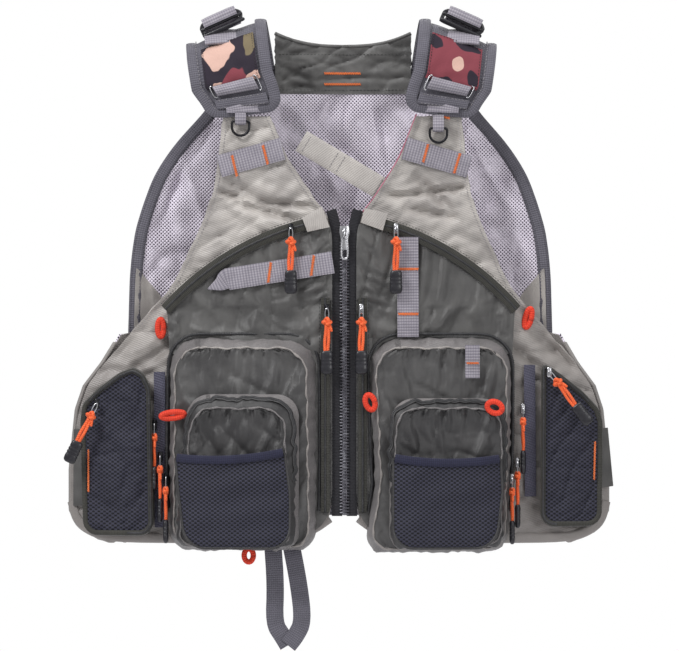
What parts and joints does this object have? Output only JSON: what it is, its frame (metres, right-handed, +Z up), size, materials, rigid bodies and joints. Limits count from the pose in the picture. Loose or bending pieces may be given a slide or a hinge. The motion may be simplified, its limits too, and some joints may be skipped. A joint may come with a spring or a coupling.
{
  "type": "fishing vest",
  "caption": "Sleeveless vest with a mesh back, padded shoulders, zipped bag pockets on two fronts that open at a centre zip, and cord pulls.",
  "frame": {"origin": "middle of the shoulder line, where a hanger or a wearer carries the vest", "axes": "+Z up, the front faces -Y, +X is to the viewer's right, which is the wearer's left"},
  "size_m": [0.5452, 0.1518, 0.6489],
  "materials": {
    "light_cloth": "pale ripstop with a soft sheen",
    "dark_cloth": "dark green-grey satin",
    "back_mesh": "lilac spacer mesh",
    "navy_mesh": "coarse navy mesh",
    "binding": "ribbed edge binding",
    "camo_cloth": "printed blotches, matt",
    "webbing": "ribbed webbing",
    "zip_tape": "woven tape",
    "zip_teeth": "moulded teeth",
    "buckle_plastic": "black moulded plastic",
    "pull_cord": "bright braided cord",
    "slider_metal": "nickel plated",
    "ring_black": "black coated wire"
  },
  "bodies": {
    "back": {"back_panel": "back_mesh", "armhole_binding_l": "binding", "armhole_binding_r": "binding", "yoke": "dark_cloth", "back_pocket": "light_cloth", "shoulder_pad_l": "camo_cloth", "shoulder_pad_r": "camo_cloth", "strap_adjuster_l": "buckle_plastic", "strap_adjuster_r": "buckle_plastic", "strap_top_l": "light_cloth", "strap_top_r": "light_cloth", "net_ring_tab": "webbing"},
    "front_l": {"front_panel_l": "light_cloth", "chest_pocket_l": "dark_cloth", "big_pocket_l": "dark_cloth", "small_pocket_l": "dark_cloth", "side_pocket_l": "navy_mesh", "shoulder_band_l": "webbing", "chest_webbing_l": "webbing", "zip_tape_l": "zip_tape", "zip_chain": "zip_teeth", "rod_loop": "webbing"},
    "front_r": {"front_panel_r": "light_cloth", "chest_pocket_r": "dark_cloth", "big_pocket_r": "dark_cloth", "small_pocket_r": "dark_cloth", "side_pocket_r": "navy_mesh", "shoulder_band_r": "webbing", "chest_webbing_r": "webbing", "zip_tape_r": "zip_tape", "chest_strap": "light_cloth"},
    "main_slider": {"main_slider": "slider_metal"},
    "main_pull": {"main_pull": "slider_metal"},
    "slider_upper_l": {"slider_upper_l": "slider_metal"},
    "pull_upper_l": {"pull_upper_l": "pull_cord"},
    "slider_centre_l": {"slider_centre_l": "slider_metal"},
    "pull_centre_l": {"pull_centre_l": "pull_cord"},
    "slider_side_l": {"slider_side_l": "slider_metal"},
    "pull_side_l": {"pull_side_l": "pull_cord"},
    "slider_big_a_l": {"slider_big_a_l": "slider_metal"},
    "pull_big_a_l": {"pull_big_a_l": "pull_cord"},
    "slider_big_b_l": {"slider_big_b_l": "slider_metal"},
    "pull_big_b_l": {"pull_big_b_l": "pull_cord"},
    "slider_small_l": {"slider_small_l": "slider_metal"},
    "pull_small_l": {"pull_small_l": "pull_cord"},
    "d_ring_l": {"d_ring_l": "ring_black"},
    "slider_upper_r": {"slider_upper_r": "slider_metal"},
    "pull_upper_r": {"pull_upper_r": "pull_cord"},
    "slider_centre_r": {"slider_centre_r": "slider_metal"},
    "pull_centre_r": {"pull_centre_r": "pull_cord"},
    "slider_side_r": {"slider_side_r": "slider_metal"},
    "pull_side_r": {"pull_side_r": "pull_cord"},
    "slider_big_a_r": {"slider_big_a_r": "slider_metal"},
    "pull_big_a_r": {"pull_big_a_r": "pull_cord"},
    "slider_big_b_r": {"slider_big_b_r": "slider_metal"},
    "pull_big_b_r": {"pull_big_b_r": "pull_cord"},
    "slider_small_r": {"slider_small_r": "slider_metal"},
    "pull_small_r": {"pull_small_r": "pull_cord"},
    "d_ring_r": {"d_ring_r": "ring_black"},
    "net_ring": {"net_ring": "ring_black"}
  },
  "joints": [
    {"name": "front_l_open", "type": "hinge", "parent": "back", "child": "front_l", "pos_m": [-0.09005, -0.038, -0.09], "axis": [-0.525, 0.0965, -0.8456], "range_deg": [0, 60]},
    {"name": "front_r_open", "type": "hinge", "parent": "back", "child": "front_r", "pos_m": [0.09135, -0.038, -0.09], "axis": [-0.5095, -0.0975, 0.8549], "range_deg": [0, 60]},
    {"name": "main_slider_travel", "type": "slide", "parent": "front_l", "child": "main_slider", "axis": [0, 0, -1], "range_m": [0, 0.27]},
    {"name": "main_pull_swing", "type": "hinge", "parent": "main_slider", "child": "main_pull", "pos_m": [0.0025, -0.057, -0.19], "axis": [-1, 0, 0], "range_deg": [0, 150]},
    {"name": "slider_upper_l_travel", "type": "hinge", "parent": "front_l", "child": "slider_upper_l", "pos_m": [0.03719, -0.05408, -0.453], "axis": [-0.1168, -0.9932, 0], "range_deg": [0, 18]},
    {"name": "pull_upper_l_swing", "type": "hinge", "parent": "slider_upper_l", "child": "pull_upper_l", "pos_m": [-0.05109, -0.0623, -0.1862], "axis": [-1, 0, 0], "range_deg": [0, 120]},
    {"name": "slider_centre_l_travel", "type": "slide", "parent": "front_l", "child": "slider_centre_l", "axis": [0, 0, -1], "range_m": [0, 0.19]},
    {"name": "pull_centre_l_swing", "type": "hinge", "parent": "slider_centre_l", "child": "pull_centre_l", "pos_m": [-0.01505, -0.06654, -0.2665], "axis": [-1, 0, 0], "range_deg": [0, 120]},
    {"name": "slider_side_l_travel", "type": "slide", "parent": "front_l", "child": "slider_side_l", "axis": [0.7179, -0.1523, 0.6793], "range_m": [0, 0.041]},
    {"name": "pull_side_l_swing", "type": "hinge", "parent": "slider_side_l", "child": "pull_side_l", "pos_m": [-0.24545, -0.05046, -0.3615], "axis": [-1, 0, 0], "range_deg": [0, 120]},
    {"name": "slider_big_a_l_travel", "type": "slide", "parent": "front_l", "child": "slider_big_a_l", "axis": [0, 0, 1], "range_m": [0, 0.045]},
    {"name": "pull_big_a_l_swing", "type": "hinge", "parent": "slider_big_a_l", "child": "pull_big_a_l", "pos_m": [-0.1879, -0.04251, -0.3825], "axis": [-1, 0, 0], "range_deg": [0, 120]},
    {"name": "slider_big_b_l_travel", "type": "slide", "parent": "front_l", "child": "slider_big_b_l", "axis": [0, 0, 1], "range_m": [0, 0.05]},
    {"name": "pull_big_b_l_swing", "type": "hinge", "parent": "slider_big_b_l", "child": "pull_big_b_l", "pos_m": [-0.18198, -0.0482, -0.4145], "axis": [-1, 0, 0], "range_deg": [0, 120]},
    {"name": "slider_small_l_travel", "type": "slide", "parent": "front_l", "child": "slider_small_l", "axis": [0, 0, 1], "range_m": [0, 0.04]},
    {"name": "pull_small_l_swing", "type": "hinge", "parent": "slider_small_l", "child": "pull_small_l", "pos_m": [-0.17606, -0.0539, -0.4355], "axis": [-1, 0, 0], "range_deg": [0, 120]},
    {"name": "d_ring_l_swing", "type": "hinge", "parent": "back", "child": "d_ring_l", "pos_m": [-0.10158, -0.04216, -0.079], "axis": [-1, 0, 0], "range_deg": [0, 150]},
    {"name": "slider_upper_r_travel", "type": "hinge", "parent": "front_r", "child": "slider_upper_r", "pos_m": [-0.03081, -0.05408, -0.453], "axis": [-0.1216, 0.9926, 0], "range_deg": [0, 18]},
    {"name": "pull_upper_r_swing", "type": "hinge", "parent": "slider_upper_r", "child": "pull_upper_r", "pos_m": [0.05395, -0.0623, -0.1862], "axis": [-1, 0, 0], "range_deg": [0, 120]},
    {"name": "slider_centre_r_travel", "type": "slide", "parent": "front_r", "child": "slider_centre_r", "axis": [0, 0, -1], "range_m": [0, 0.19]},
    {"name": "pull_centre_r_swing", "type": "hinge", "parent": "slider_centre_r", "child": "pull_centre_r", "pos_m": [0.01935, -0.06654, -0.2665], "axis": [-1, 0, 0], "range_deg": [0, 120]},
    {"name": "slider_side_r_travel", "type": "slide", "parent": "front_r", "child": "slider_side_r", "axis": [0.7787, 0.173, -0.603], "range_m": [0, 0.036]},
    {"name": "pull_side_r_swing", "type": "hinge", "parent": "slider_side_r", "child": "pull_side_r", "pos_m": [0.20724, -0.05761, -0.3295], "axis": [-1, 0, 0], "range_deg": [0, 120]},
    {"name": "slider_big_a_r_travel", "type": "slide", "parent": "front_r", "child": "slider_big_a_r", "axis": [0, 0, 1], "range_m": [0, 0.045]},
    {"name": "pull_big_a_r_swing", "type": "hinge", "parent": "slider_big_a_r", "child": "pull_big_a_r", "pos_m": [0.18138, -0.04299, -0.3665], "axis": [-1, 0, 0], "range_deg": [0, 120]},
    {"name": "slider_big_b_r_travel", "type": "slide", "parent": "front_r", "child": "slider_big_b_r", "axis": [0, 0, 1], "range_m": [0, 0.05]},
    {"name": "pull_big_b_r_swing", "type": "hinge", "parent": "slider_big_b_r", "child": "pull_big_b_r", "pos_m": [0.1757, -0.04868, -0.4205], "axis": [-1, 0, 0], "range_deg": [0, 120]},
    {"name": "slider_small_r_travel", "type": "slide", "parent": "front_r", "child": "slider_small_r", "axis": [0, 0, 1], "range_m": [0, 0.04]},
    {"name": "pull_small_r_swing", "type": "hinge", "parent": "slider_small_r", "child": "pull_small_r", "pos_m": [0.17002, -0.05438, -0.4365], "axis": [-1, 0, 0], "range_deg": [0, 120]},
    {"name": "d_ring_r_swing", "type": "hinge", "parent": "back", "child": "d_ring_r", "pos_m": [0.09654, -0.04288, -0.086], "axis": [-1, 0, 0], "range_deg": [0, 150]},
    {"name": "net_ring_swing", "type": "hinge", "parent": "back", "child": "net_ring", "pos_m": [0.0025, 0.0585, -0.058], "axis": [1, 0, 0], "range_deg": [0, 150]}
  ]
}
